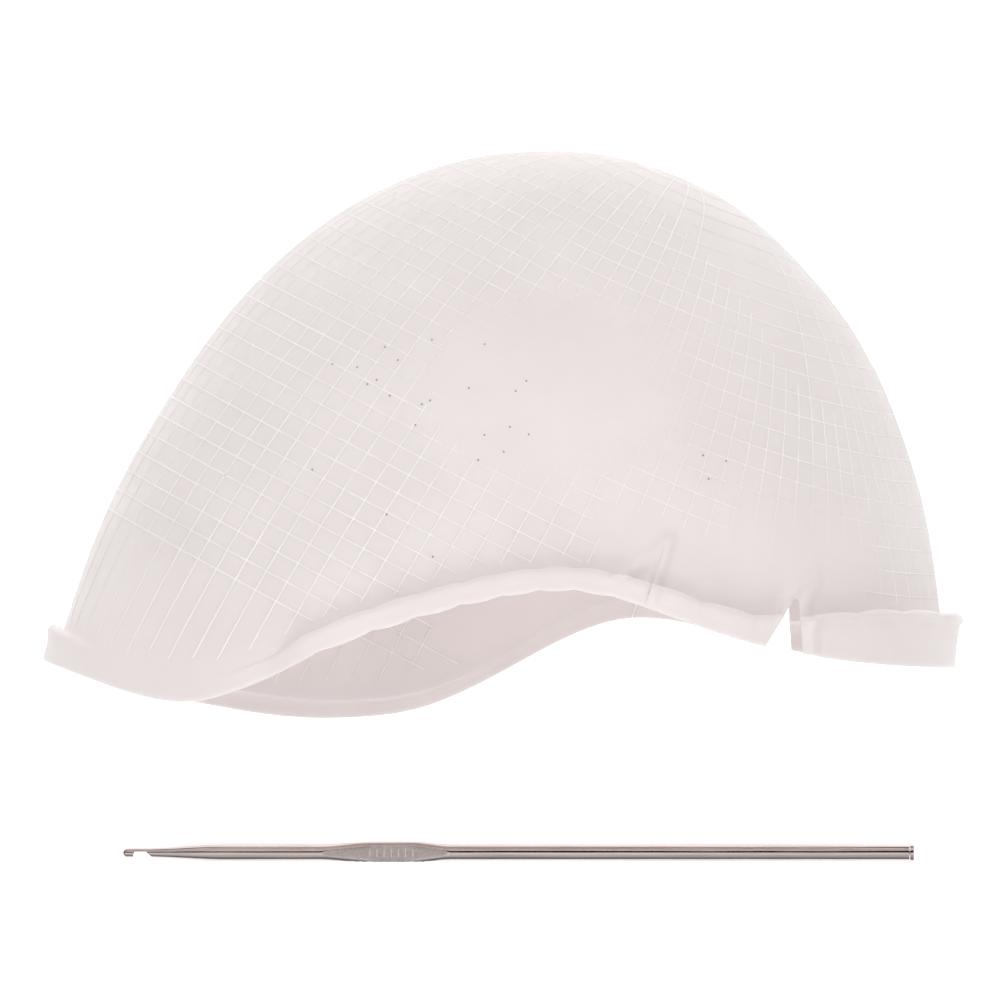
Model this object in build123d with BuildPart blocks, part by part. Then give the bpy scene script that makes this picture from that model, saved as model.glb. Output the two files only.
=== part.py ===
"""Silicone highlighting cap, lying on its side, with its steel pull-through hook beside it.

Frame: +X runs from the forehead to the nape, +Y from the head opening to the crown, and +Z up from
the surface that the cap lies on. The origin is the middle of the flat that it lies on, in line with
the crown. Millimetres. The dome is a stack of ovals in planes of constant Y.
"""

import math
import os

from build123d import *

os.makedirs("parts", exist_ok=True)

# ---------------------------------------------------------------- dome
WALL = 1.2  # silicone wall
APEX_X = 0.0  # the crown stands over the origin
APEX_Y = 113.3  # crown line, from the middle of the flat that the cap lies on
SKIRT_Y = -58.0  # level at which the dome's rule starts, below the rim
FRONT_REACH = 137.6  # from the crown line to the forehead at SKIRT_Y
NAPE_REACH = 112.7  # from the crown line to the nape at SKIRT_Y
SIDE_REACH = 74.0  # half the width of the cap, ear to ear
FRONT_RISE, FRONT_ROUND = 1.47, 2.12  # a long straight slope up the forehead
NAPE_RISE, NAPE_ROUND = 2.49, 2.14  # an upright nape
SIDE_RISE, SIDE_ROUND = 2.2, 2.0
MID_Z = SIDE_REACH + 3  # height of the middle plane over the table, at the skirt
LEAN = 0.14  # the crown end lies lower than the opening by this share of its height
DOME_SECTIONS = 9
TIP_SHARE = 0.985  # the last section's height, as a share of the quarter turn to the apex

# ---------------------------------------------------------------- rim, ledge and band
LEDGE_STEP = 3.4  # how far the band stands out from the dome
NEAR_Z = MID_Z + 0.743 * SIDE_REACH  # from here up the near rim line holds
FAR_Z = 8.0  # from here down the far rim line holds
SPLIT_Z = MID_Z - 5  # height that parts the near side from the far side
ROOF_Z = MID_Z + SIDE_REACH + 19  # above everything
GROUND_DEPTH = 10.0  # how far the cutting blocks reach under the table
END_X = FRONT_REACH + 22  # the trimming blocks reach past the dome to here
BLOCK_DROP = 110.0  # and this far from the origin, past the rim
BAND_SPLIT_X = 51.0  # inside the ear notches, between the front band and the nape band

NEAR_RIM = [(-134, -25.6), (-113, -33.2), (-93, -36.6), (-79, -33.2), (-53, -22.3), (-16, -10.6),
            (13, -7.8), (35, -14.4), (61, -22.8), (87, -27.2), (113, -28.8)]
FAR_RIM = [(-134, -25.6), (-113, -33.8), (-93, -39), (-73, -42.8), (-53, -43.4), (-33, -41), (-3, -27),
           (23, -16), (63, -23), (87, -27), (113, -28.8)]
BAND_HEIGHTS = [8.6, 7.0, 5.8, 5.4, 5.2, 5.0, 4.8, 5.6, 7.0, 12.2, 12.9]

# ---------------------------------------------------------------- ear notches and tabs
SLIT_APEX = (33.8, 4.5)  # top of the narrow front notch
SLIT_MOUTH = (25.4, -20)
SLIT_WIDTH = 1.6
VEE_APEX = (69.7, -9.4)  # top of the wide rear notch
VEE_MOUTH_FRONT = (58.6, -27)
VEE_MOUTH_REAR = (71.6, -39)
VEE_TIP_WIDTH = 1.4
HINGE_KERF = 1.6  # the cut that stands for each tab's living hinge
MOUTH_RUN = 25.0  # the notch blocks run past the rim by this much
LIP_WIDTH = 3.0  # thickened lip beside each notch leg
LIP_HEIGHT = 0.7  # how far it stands proud of the dome

# ---------------------------------------------------------------- hook
HOOK_LENGTH = 222.0
ROD_DIAMETER = 5.0
HOOK_CENTRE_X = -5.0
HOOK_Y = -81.5  # the hook lies this far in front of the opening
TAIL_FLANGE = 0.25  # the tail's end stands out from the rod by this much
TAIL_FLANGE_LENGTH = 1.2
NECK_END = 0.13 * HOOK_LENGTH  # the taper behind the throat reaches the full rod here
REST_START, REST_END = 0.25 * HOOK_LENGTH, 0.415 * HOOK_LENGTH
REST_WIDE_START, REST_WIDE_END = 0.315 * HOOK_LENGTH, 0.365 * HOOK_LENGTH
REST_WIDTH = 1.32 * ROD_DIAMETER  # the pressed stretch is wider than the rod
REST_SPINE = 0.84 * ROD_DIAMETER  # height of the pressed stretch before its faces are flattened
REST_CUT = 1.0  # the blocks that flatten the rest start this far off the rod
REST_THICKNESS = 0.62 * ROD_DIAMETER  # between its two flat faces
HEAD_DIAMETER = 0.56 * ROD_DIAMETER
THROAT_START, THROAT_END = 0.013 * HOOK_LENGTH, 0.030 * HOOK_LENGTH
THROAT_DEPTH = 0.62 * HEAD_DIAMETER
THROAT_LEAN = 0.5  # the lip of the throat leans back over it
THROAT_RUNOUT = 3.0  # ramp from the throat's floor out to the neck
NECK_MIDDLE = 0.085 * HOOK_LENGTH
NECK_MIDDLE_RADIUS = 0.41 * ROD_DIAMETER


def share(y, rise, roundness):
    """Share of the full reach that is left at height y, from 1 at the skirt to 0 at the crown."""
    s = (y - SKIRT_Y) / (APEX_Y - SKIRT_Y)
    return (1 - s**rise) ** (1 / roundness)


def middle_z(y):
    return MID_Z - LEAN * (y - SKIRT_Y)


def side_z(x, y, side):
    """Height of the dome's outer face over the point (x, y), on the near (+1) or far (-1) side."""
    reach = NAPE_REACH * share(y, NAPE_RISE, NAPE_ROUND)
    if x < APEX_X:
        reach = FRONT_REACH * share(y, FRONT_RISE, FRONT_ROUND)
    across = math.sqrt(1 - ((x - APEX_X) / reach) ** 2)
    return middle_z(y) + side * SIDE_REACH * share(y, SIDE_RISE, SIDE_ROUND) * across


def dome(grow, floor):
    """Solid dome whose reaches are larger than the cap's by grow, cut flat at floor where it lies."""
    with BuildPart() as body:
        for step in range(DOME_SECTIONS):
            turn = math.pi / 2 * TIP_SHARE * step / (DOME_SECTIONS - 1)
            y = SKIRT_Y + (APEX_Y - SKIRT_Y) * math.sin(turn)
            level = SKIRT_Y + (APEX_Y + grow - SKIRT_Y) * math.sin(turn)
            front = FRONT_REACH * share(y, FRONT_RISE, FRONT_ROUND) + grow
            nape = NAPE_REACH * share(y, NAPE_RISE, NAPE_ROUND) + grow
            side = SIDE_REACH * share(y, SIDE_RISE, SIDE_ROUND) + grow
            with BuildSketch(Plane.XZ.offset(-level)):
                with BuildLine():
                    centre = (APEX_X, middle_z(y))
                    EllipticalCenterArc(centre, nape, side, start_angle=0, arc_size=90)
                    EllipticalCenterArc(centre, front, side, start_angle=90, arc_size=90)
                    EllipticalCenterArc(centre, front, side, start_angle=180, arc_size=90)
                    EllipticalCenterArc(centre, nape, side, start_angle=270, arc_size=90)
                make_face()
        loft()
        split(bisect_by=Plane.XY.offset(floor), keep=Keep.TOP)
    return body.part


def below_line(near, far, drop=0.0):
    """Block of everything below the surface that runs from the near line to the far line."""
    with BuildPart() as block:
        for height, line in ((-GROUND_DEPTH, far), (FAR_Z, far), (NEAR_Z, near), (ROOF_Z, near)):
            line = [(x, y - drop) for x, y in line]
            left, right = line[0], line[-1]
            with BuildSketch(Plane.XY.offset(height)):
                with BuildLine():
                    Spline(*line)
                    Polyline(right, (END_X, right[1]), (END_X, -BLOCK_DROP), (-END_X, -BLOCK_DROP),
                             (-END_X, left[1]), left)
                make_face()
        loft(ruled=True)
    return block.part


def upright_block(outlines, low, high):
    """Straight-sided block over closed outlines that overlap, between two heights."""
    with BuildPart() as block:
        with BuildSketch(Plane.XY.offset(low)):
            for outline in outlines:
                with BuildLine():
                    Polyline(*outline, close=True)
                make_face()
        extrude(amount=high - low)
    return block.part


def along(start, end, distance, aside):
    """Point at a distance from start towards end, moved aside to the left of that direction."""
    run = Vector(end[0] - start[0], end[1] - start[1]).normalized()
    left = Vector(-run.Y, run.X)
    point = Vector(*start) + run * distance + left * aside
    return (point.X, point.Y)


def crossing(first, second):
    """Point where the line through one pair of points meets the line through another pair."""
    (ax, ay), (bx, by) = first
    (cx, cy), (dx, dy) = second
    spread = (bx - ax) * (dy - cy) - (by - ay) * (dx - cx)
    run = ((cx - ax) * (dy - cy) - (cy - ay) * (dx - cx)) / spread
    return (ax + run * (bx - ax), ay + run * (by - ay))


# ---------------------------------------------------------------- outlines of the notches and tabs
def leg(apex, mouth, aside):
    """Two ends of a notch leg or hinge line, moved aside, with the second one run on past the rim."""
    length = math.dist(apex, mouth)
    return along(apex, mouth, 0, aside), along(apex, mouth, length + MOUTH_RUN, aside)


def notch_outline(slit_aside, kerf_aside, vee_mouth, vee_aside):
    """Outline from the front notch over the hinge line to one leg of the rear notch."""
    slit = leg(SLIT_APEX, SLIT_MOUTH, slit_aside)
    hinge = leg(SLIT_APEX, VEE_APEX, kerf_aside)
    vee = leg(VEE_APEX, vee_mouth, vee_aside)
    return [slit[1], crossing(slit, hinge), crossing(hinge, vee), vee[1]]


tab_outline = notch_outline(SLIT_WIDTH / 2, -HINGE_KERF / 2, VEE_MOUTH_FRONT, -VEE_TIP_WIDTH / 2)
open_outline = notch_outline(-SLIT_WIDTH / 2, HINGE_KERF / 2, VEE_MOUTH_REAR, VEE_TIP_WIDTH / 2)


def lip_outline(apex, mouth):
    """Strip of one lip's width on both sides of a notch leg and past its apex."""
    return [
        leg(apex, mouth, LIP_WIDTH)[1],
        leg(apex, mouth, -LIP_WIDTH)[1],
        along(apex, mouth, -LIP_WIDTH, -LIP_WIDTH),
        along(apex, mouth, -LIP_WIDTH, LIP_WIDTH),
    ]


lip_outlines = {
    "slit": [lip_outline(SLIT_APEX, SLIT_MOUTH)],
    "vee": [lip_outline(VEE_APEX, VEE_MOUTH_FRONT), lip_outline(VEE_APEX, VEE_MOUTH_REAR)],
}
SIDES = {"near": (SPLIT_Z, ROOF_Z), "far": (-GROUND_DEPTH, SPLIT_Z)}

# ---------------------------------------------------------------- masters of the moulding
near_ledge = [(x, y + h) for (x, y), h in zip(NEAR_RIM, BAND_HEIGHTS)]
far_ledge = [(x, y + h) for (x, y), h in zip(FAR_RIM, BAND_HEIGHTS)]
outer = dome(0, 0)
inner = dome(-WALL, WALL)
lip_outer = dome(LIP_HEIGHT, 0)
band_outer = dome(LEDGE_STEP, 0)
band_inner = dome(LEDGE_STEP - WALL, WALL)
below_ledge = below_line(near_ledge, far_ledge)
below_ledge_slab = below_line(near_ledge, far_ledge, drop=WALL)
below_rim = below_line(NEAR_RIM, FAR_RIM)
notch_opening = upright_block([open_outline], -GROUND_DEPTH, ROOF_Z)

with BuildPart() as dome_wall:
    add(outer)
    add(inner, mode=Mode.SUBTRACT)
    add(below_ledge, mode=Mode.SUBTRACT)

with BuildPart() as band_hollow:
    add(band_inner)
    add(below_ledge_slab, mode=Mode.INTERSECT)

with BuildPart() as rim_band:
    add(band_outer)
    add(below_ledge, mode=Mode.INTERSECT)
    add(below_rim, mode=Mode.SUBTRACT)
    add(band_hollow.part, mode=Mode.SUBTRACT)
    add(inner, mode=Mode.SUBTRACT)

with BuildPart() as lip_skin:
    add(lip_outer)
    add(outer, mode=Mode.SUBTRACT)
    add(below_ledge, mode=Mode.SUBTRACT)

# ---------------------------------------------------------------- crown shell and the two bands
with BuildPart() as crown_shell:
    add(dome_wall.part)
    add(notch_opening, mode=Mode.SUBTRACT)

with BuildPart() as front_band:
    add(rim_band.part)
    add(notch_opening, mode=Mode.SUBTRACT)
    split(bisect_by=Plane.YZ.offset(BAND_SPLIT_X), keep=Keep.BOTTOM)

with BuildPart() as nape_band:
    add(rim_band.part)
    add(notch_opening, mode=Mode.SUBTRACT)
    split(bisect_by=Plane.YZ.offset(BAND_SPLIT_X), keep=Keep.TOP)

pieces = {"crown_shell": crown_shell, "front_band": front_band, "nape_band": nape_band}

# ---------------------------------------------------------------- lips and ear tabs, one set a side
for side, (low, high) in SIDES.items():
    for notch, outlines in lip_outlines.items():
        strip = upright_block(outlines, low, high)
        with BuildPart() as lip:
            add(lip_skin.part)
            add(strip, mode=Mode.INTERSECT)
            add(notch_opening, mode=Mode.SUBTRACT)
        pieces[f"{side}_{notch}_lip"] = lip
    tab_block = upright_block([tab_outline], low, high)
    with BuildPart() as ear_tab:
        add(dome_wall.part)
        add(rim_band.part)
        add(tab_block, mode=Mode.INTERSECT)
    pieces[f"{side}_ear_tab"] = ear_tab

# ---------------------------------------------------------------- hook
rod_radius = ROD_DIAMETER / 2
head_radius = HEAD_DIAMETER / 2
flange_radius = rod_radius + TAIL_FLANGE
tip_x = HOOK_CENTRE_X - HOOK_LENGTH / 2
tail_x = tip_x + HOOK_LENGTH
rod_axis = Axis((tip_x, HOOK_Y, flange_radius), (1, 0, 0))
rod_plane = Plane((tip_x, HOOK_Y, flange_radius), x_dir=(1, 0, 0), z_dir=(0, -1, 0))

with BuildPart() as hook:
    with BuildSketch(rod_plane):
        with BuildLine():
            Line((0, 0), (HOOK_LENGTH, 0))
            Line((HOOK_LENGTH, 0), (HOOK_LENGTH, flange_radius - TAIL_FLANGE))
            RadiusArc((HOOK_LENGTH, flange_radius - TAIL_FLANGE),
                      (HOOK_LENGTH - TAIL_FLANGE, flange_radius), -TAIL_FLANGE)
            Polyline((HOOK_LENGTH - TAIL_FLANGE, flange_radius),
                     (HOOK_LENGTH - TAIL_FLANGE_LENGTH, flange_radius),
                     (HOOK_LENGTH - TAIL_FLANGE_LENGTH - TAIL_FLANGE, rod_radius),
                     (NECK_END, rod_radius))
            Spline((NECK_END, rod_radius), (NECK_MIDDLE, NECK_MIDDLE_RADIUS), (THROAT_END, head_radius),
                   tangents=[(-1, 0), (-1, 0)])
            Line((THROAT_END, head_radius), (head_radius, head_radius))
            RadiusArc((head_radius, head_radius), (0, 0), -head_radius)
        make_face()
    revolve(axis=rod_axis)
    for x, width, height in ((REST_START, ROD_DIAMETER, ROD_DIAMETER),
                             (REST_WIDE_START, REST_WIDTH, REST_SPINE),
                             (REST_WIDE_END, REST_WIDTH, REST_SPINE),
                             (REST_END, ROD_DIAMETER, ROD_DIAMETER)):
        with BuildSketch(Plane((tip_x + x, HOOK_Y, flange_radius), x_dir=(0, 1, 0), z_dir=(1, 0, 0))):
            Ellipse(width / 2, height / 2)
    loft()
    with BuildSketch(rod_plane):
        with BuildLine():
            Polyline((REST_START, rod_radius + REST_CUT), (REST_START, rod_radius),
                     (REST_WIDE_START, REST_THICKNESS / 2), (REST_WIDE_END, REST_THICKNESS / 2),
                     (REST_END, rod_radius), (REST_END, rod_radius + REST_CUT), close=True)
        make_face()
        mirror(about=Plane.XZ)
    extrude(amount=REST_WIDTH, both=True, mode=Mode.SUBTRACT)
    with BuildSketch(Plane((tip_x, HOOK_Y, flange_radius))):
        with BuildLine():
            Polyline((THROAT_START, -ROD_DIAMETER), (THROAT_START + THROAT_LEAN, THROAT_DEPTH - head_radius),
                     (THROAT_END, THROAT_DEPTH - head_radius), (THROAT_END + THROAT_RUNOUT, -ROD_DIAMETER),
                     close=True)
        make_face()
    extrude(amount=ROD_DIAMETER, both=True, mode=Mode.SUBTRACT)
pieces["hook"] = hook

for name, piece in pieces.items():
    piece.part.label = name
    export_step(piece.part, f"parts/{name}.step")

# ---------------------------------------------------------------- the tabs' hinge lines, for the joints
hinge_middle = ((SLIT_APEX[0] + VEE_APEX[0]) / 2, (SLIT_APEX[1] + VEE_APEX[1]) / 2)
for side, sign in (("near", 1), ("far", -1)):
    ends = [max(0, side_z(*point, sign)) for point in (SLIT_APEX, VEE_APEX)]
    bulge = side_z(*hinge_middle, sign) - sum(ends) / 2
    print(f"{side} hinge: from z {ends[0] + bulge:.2f} at the slit to z {ends[1] + bulge:.2f} at the vee")
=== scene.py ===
"""Silicone highlighting cap lying on its side, and the steel hook that pulls strands through it.

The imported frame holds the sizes, bodies and joints. This script dresses it: one silicone skin with
its stepped rim, the guide net on both faces, the lips of the ear notches, the pinholes and the hook.
Lengths are in metres, in the frame's own axes: +X to the nape, +Y to the crown, +Z up.
"""

import math

import bmesh
import bpy
import numpy as np
from bpy.props import FloatProperty, FloatVectorProperty, IntProperty, PointerProperty
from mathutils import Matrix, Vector


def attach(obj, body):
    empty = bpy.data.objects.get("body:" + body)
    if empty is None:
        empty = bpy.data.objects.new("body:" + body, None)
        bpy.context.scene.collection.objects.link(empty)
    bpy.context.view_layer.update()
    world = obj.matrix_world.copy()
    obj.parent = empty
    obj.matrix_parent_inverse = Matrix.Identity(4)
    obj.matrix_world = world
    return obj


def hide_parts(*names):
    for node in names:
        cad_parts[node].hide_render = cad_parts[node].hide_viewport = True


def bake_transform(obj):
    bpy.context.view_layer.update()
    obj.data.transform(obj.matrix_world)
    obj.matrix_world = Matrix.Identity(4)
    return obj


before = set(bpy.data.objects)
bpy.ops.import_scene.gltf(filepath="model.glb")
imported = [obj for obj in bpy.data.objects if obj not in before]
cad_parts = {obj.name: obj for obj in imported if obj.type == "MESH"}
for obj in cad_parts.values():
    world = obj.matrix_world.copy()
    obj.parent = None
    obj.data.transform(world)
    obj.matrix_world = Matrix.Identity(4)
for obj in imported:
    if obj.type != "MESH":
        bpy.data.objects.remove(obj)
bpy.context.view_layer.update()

bl_info = {
    "name": "Highlighting cap",
    "version": (1, 0, 0),
    "blender": (4, 5, 0),
    "location": "View3D > Sidebar > Cap",
    "description": "Builds a silicone highlighting cap and its hook around the packed frame",
    "category": "Add Mesh",
}

MM = 0.001

# The rim runs from the forehead (-X) to the nape (+X), once on the near side and once on the far side.
NEAR_RIM = [(-134, -25.6), (-113, -33.2), (-93, -36.6), (-79, -33.2), (-53, -22.3), (-16, -10.6),
            (13, -7.8), (35, -14.4), (61, -22.8), (87, -27.2), (113, -28.8)]
FAR_RIM = [(-134, -25.6), (-113, -33.8), (-93, -39), (-73, -42.8), (-53, -43.4), (-33, -41), (-3, -27),
           (23, -16), (63, -23), (87, -27), (113, -28.8)]
BAND_HEIGHTS = [8.6, 7.0, 5.8, 5.4, 5.2, 5.0, 4.8, 5.6, 7.0, 12.2, 12.9]
NEAR_Z, FAR_Z, SPLIT_Z = 132.0, 8.0, 72.0

# The ear notches, seen along Z: a narrow slit in front of the ear and a wide vee behind it.
SLIT_APEX, SLIT_MOUTH = (33.8, 4.5), (25.4, -20.0)
VEE_APEX, VEE_MOUTH_FRONT, VEE_MOUTH_REAR = (69.7, -9.4), (58.6, -27.0), (71.6, -39.0)
SLIT_HALF, VEE_TIP_HALF, NOTCH_RUN = 0.06, 0.6, 25.0
# The thick lips beside the notches, as lines on the skin.
LIP_LINES = [[(35, 6.5), (21.5, -4.5)], [(35.5, 6.5), (30.2, -9)],
             [(75, -2), (69, -6.8), (63.5, -15)], [(75, -4), (71.9, -10.6), (72, -25)]]
# Depth of the notches' blocks: they start under the table line and end above the cap.
BLOCK_LOW, BLOCK_HIGH = -10.0, 170.0


# ---------------------------------------------------------------- sizes and colours that a user would change
class CapShape(bpy.types.PropertyGroup):
    wall: FloatProperty(name="Wall", description="Thickness of the silicone", default=1.2 * MM, unit="LENGTH")
    crown: FloatProperty(name="Crown", description="Y of the crown", default=113.3 * MM, unit="LENGTH")
    skirt: FloatProperty(name="Skirt", description="Y where the dome's rule starts", default=-58 * MM,
                         unit="LENGTH")
    front_reach: FloatProperty(name="Front reach", description="Crown line to forehead at the skirt",
                               default=137.6 * MM, unit="LENGTH")
    nape_reach: FloatProperty(name="Nape reach", description="Crown line to nape at the skirt",
                              default=112.7 * MM, unit="LENGTH")
    side_reach: FloatProperty(name="Side reach", description="Half the width, ear to ear",
                              default=74 * MM, unit="LENGTH")
    middle: FloatProperty(name="Middle", description="Height of the middle plane at the skirt",
                          default=77 * MM, unit="LENGTH")
    lean: FloatProperty(name="Lean", description="How far the crown sinks per unit of height", default=0.14)
    ledge: FloatProperty(name="Ledge", description="Step from the dome out to the rim band",
                         default=3.4 * MM, unit="LENGTH")
    ripple: FloatProperty(name="Ripple", description="Soft unevenness of the skin", default=0.5 * MM,
                          unit="LENGTH")
    lip_width: FloatProperty(name="Lip width", description="Half the width of a notch lip",
                             default=2.4 * MM, unit="LENGTH")
    lip_height: FloatProperty(name="Lip height", description="How far a notch lip stands out",
                              default=1.1 * MM, unit="LENGTH")


class NetShape(bpy.types.PropertyGroup):
    pitch: FloatProperty(name="Pitch", description="Side of one cell of the guide net", default=6.7 * MM,
                         unit="LENGTH")
    rib_radius: FloatProperty(name="Rib radius", description="Half the width of a guide line",
                              default=0.32 * MM, unit="LENGTH")
    pinholes: IntProperty(name="Pinholes", description="Number of pull-through pinholes", default=24)
    pinhole_radius: FloatProperty(name="Pinhole radius", description="Half the width of a pinhole",
                                  default=0.27 * MM, unit="LENGTH")
    seed: IntProperty(name="Seed", description="Seed of everything scattered", default=7)


class HookShape(bpy.types.PropertyGroup):
    length: FloatProperty(name="Length", description="Tip to tail", default=222 * MM, unit="LENGTH")
    shaft: FloatProperty(name="Shaft", description="Diameter of the shaft", default=5 * MM, unit="LENGTH")
    tip: FloatProperty(name="Tip", description="X of the tip", default=-116 * MM, unit="LENGTH")
    across: FloatProperty(name="Across", description="Y of the shaft", default=-81.5 * MM, unit="LENGTH")
    axis_height: FloatProperty(name="Axis height", description="Height of the shaft's axis",
                               default=2.75 * MM, unit="LENGTH")
    ticks: IntProperty(name="Ticks", description="Raised ticks on the thumb rest", default=7)


class Finish(bpy.types.PropertyGroup):
    silicone: FloatVectorProperty(name="Silicone", description="Body colour", subtype="COLOR",
                                  default=(0.77, 0.715, 0.708))
    # Painted highlight: the guide lines are coloured lighter than the silicone to stand in for light caught
    # on the ridges.
    guide: FloatVectorProperty(name="Guide lines", description="Raised line colour", subtype="COLOR",
                               default=(0.93, 0.885, 0.88))
    steel: FloatVectorProperty(name="Steel", description="Plated hook colour", subtype="COLOR",
                               default=(0.70, 0.62, 0.60))
    floor: FloatVectorProperty(name="Floor", description="Table colour", subtype="COLOR",
                               default=(0.93, 0.93, 0.93))


# ---------------------------------------------------------------- the rim's lines

def spline_through(points):
    """Natural cubic curve y(x) through given points in millimetres, as a function of metres."""
    x, y = (np.array(values, float) * MM for values in zip(*points))
    steps, slopes = np.diff(x), np.diff(y) / np.diff(x)
    count = len(x)
    matrix, right = np.eye(count), np.zeros(count)
    for i in range(1, count - 1):
        matrix[i, i - 1:i + 2] = steps[i - 1], 2 * (steps[i - 1] + steps[i]), steps[i]
        right[i] = 6 * (slopes[i] - slopes[i - 1])
    bend = np.linalg.solve(matrix, right)

    def height(at):
        at = np.clip(at, x[0], x[-1])
        i = np.clip(np.searchsorted(x, at) - 1, 0, count - 2)
        h, a, b = steps[i], at - x[i], x[i + 1] - at
        return ((bend[i] * b**3 + bend[i + 1] * a**3) / (6 * h)
                + (y[i] / h - bend[i] * h / 6) * b + (y[i + 1] / h - bend[i + 1] * h / 6) * a)

    return height


near_rim, far_rim = spline_through(NEAR_RIM), spline_through(FAR_RIM)
near_band = spline_through([(x, h) for (x, _), h in zip(NEAR_RIM, BAND_HEIGHTS)])
far_band = spline_through([(x, h) for (x, _), h in zip(FAR_RIM, BAND_HEIGHTS)])


def nearness(z):
    """0 on the far side, 1 on the near side."""
    return np.clip((z / MM - FAR_Z) / (NEAR_Z - FAR_Z), 0, 1)


def band_height(x, z):
    t = nearness(z)
    return far_band(x) * (1 - t) + near_band(x) * t


def ledge_level(x, z):
    t = nearness(z)
    return far_rim(x) * (1 - t) + near_rim(x) * t + band_height(x, z)


def window(value, low, high, soft):
    """1 between low and high, falling softly to 0 outside."""
    rise = np.clip((value - low) / soft + 0.5, 0, 1)
    fall = np.clip((high - value) / soft + 0.5, 0, 1)
    return (rise * rise * (3 - 2 * rise)) * (fall * fall * (3 - 2 * fall))


def distance_to_line(x, y, line):
    """Distance in plan from points to a bent line of given points."""
    nearest = np.full(np.shape(x), 1.0)
    for (ax, ay), (bx, by) in zip(line, line[1:]):
        ax, ay, bx, by = ax * MM, ay * MM, bx * MM, by * MM
        run = (bx - ax) ** 2 + (by - ay) ** 2
        t = np.clip(((x - ax) * (bx - ax) + (y - ay) * (by - ay)) / run, 0, 1)
        nearest = np.minimum(nearest, np.hypot(x - ax - t * (bx - ax), y - ay - t * (by - ay)))
    return nearest


# ---------------------------------------------------------------- the dome
# How each side of the dome rises to the crown: how late it turns in, and how round it is there.
FRONT_RISE, FRONT_ROUND = 1.47, 2.12
NAPE_RISE, NAPE_ROUND = 2.49, 2.14
SIDE_RISE, SIDE_ROUND = 2.2, 2.0
FLOOR_SOFTNESS = 1.2 * MM  # how gently the skin flattens where it lies on the table


class Dome:
    """The cap's outer face: ovals in planes of constant Y, with a soft unevenness."""

    def __init__(self, shape):
        self.shape = shape
        self.tall = shape.crown - shape.skirt

    def share(self, y, rise, roundness):
        """The share of a full reach that is left at level y."""
        s = np.clip((y - self.shape.skirt) / self.tall, 1e-6, 1 - 1e-7)
        return (1 - s**rise) ** (1 / roundness)

    def middle(self, y):
        """Height of the middle plane at level y."""
        return self.shape.middle - self.shape.lean * (y - self.shape.skirt)

    def reaches(self, x, y):
        """Reach along X and along Z of the oval at level y, on x's side of the crown line."""
        front = self.shape.front_reach * self.share(y, FRONT_RISE, FRONT_ROUND)
        nape = self.shape.nape_reach * self.share(y, NAPE_RISE, NAPE_ROUND)
        side = self.shape.side_reach * self.share(y, SIDE_RISE, SIDE_ROUND)
        return np.where(x < 0, front, nape), side

    def on_oval(self, turn, y):
        reach, side = self.reaches(np.cos(turn), y)
        return np.stack([reach * np.cos(turn), y + 0 * turn, self.middle(y) + side * np.sin(turn)], -1)

    def inside(self, p):
        """Below 0 inside the dome, 0 on it and above 0 outside."""
        reach, side = self.reaches(p[..., 0], p[..., 1])
        return (p[..., 0] / reach) ** 2 + ((p[..., 2] - self.middle(p[..., 1])) / side) ** 2 - 1

    def slope(self, p):
        """Gradient of inside()."""
        step = 0.02 * MM
        rows = [(self.inside(p + step * axis) - self.inside(p - step * axis)) / (2 * step)
                for axis in np.eye(3)]
        return np.stack(rows, -1)

    def normal(self, p):
        g = self.slope(p)
        return g / np.linalg.norm(g, axis=-1, keepdims=True)

    def settle(self, p):
        """Moves points onto the dome."""
        for _ in range(3):
            g = self.slope(p)
            p = p - (self.inside(p) / np.sum(g * g, -1))[..., None] * g
        return p

    def ripple(self, p):
        """Soft unevenness of moulded silicone, from a few crossing waves."""
        x, y, z = (p[..., i] / MM for i in range(3))
        wave = (np.sin(x / 23 + y / 41 + 0.8) * np.sin(z / 29 - y / 33)
                + 0.6 * np.sin(x / 13 - y / 17 + z / 31 + 2.1) * np.sin(y / 19 + z / 15))
        return self.shape.ripple * wave

    def lips(self, p):
        """Height of the thick lips that run beside the notches, on the outer face."""
        height = np.zeros(p.shape[:-1])
        for line in LIP_LINES:
            share = np.clip(distance_to_line(p[..., 0], p[..., 1], line) / self.shape.lip_width, 0, 1)
            height = np.maximum(height, self.shape.lip_height * (1 - share**2) ** 2)
        return height

    def lay(self, p, out=0.0, floor=0.0):
        """Points of the dome moved out along its normal, never lower than the floor it lies on."""
        q = p + self.normal(p) * (np.asarray(out) + self.ripple(p))[..., None]
        over = q[..., 2] - floor
        q[..., 2] = floor + (over + np.sqrt(over**2 + FLOOR_SOFTNESS**2)) / 2
        return q


# ---------------------------------------------------------------- mesh helpers
WELD_REACH = 1e-7  # points closer than this are one point, in metres


def new_piece(name, points, faces, material, smooth_angle=35):
    """Plain mesh object at the origin with one material."""
    mesh = bpy.data.meshes.new(name)
    mesh.from_pydata([tuple(p) for p in points], [], faces)
    mesh.validate()
    piece = bpy.data.objects.new(name, mesh)
    bpy.context.scene.collection.objects.link(piece)
    if material:
        mesh.materials.append(material)
    smooth(mesh, smooth_angle)
    return piece


def weld(mesh):
    """Joins points that share a place, which drops the faces left without area."""
    work = bmesh.new()
    work.from_mesh(mesh)
    bmesh.ops.remove_doubles(work, verts=work.verts, dist=WELD_REACH)
    work.to_mesh(mesh)
    work.free()


def smooth(mesh, angle):
    mesh.polygons.foreach_set("use_smooth", [True] * len(mesh.polygons))
    mesh.set_sharp_from_angle(angle=math.radians(angle))


def settle_modifiers(piece):
    """Turns the piece and its modifiers into one plain mesh."""
    graph = bpy.context.evaluated_depsgraph_get()
    mesh = bpy.data.meshes.new_from_object(piece.evaluated_get(graph))
    piece.modifiers.clear()
    piece.data = mesh
    mesh.name = piece.name
    return piece


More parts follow.
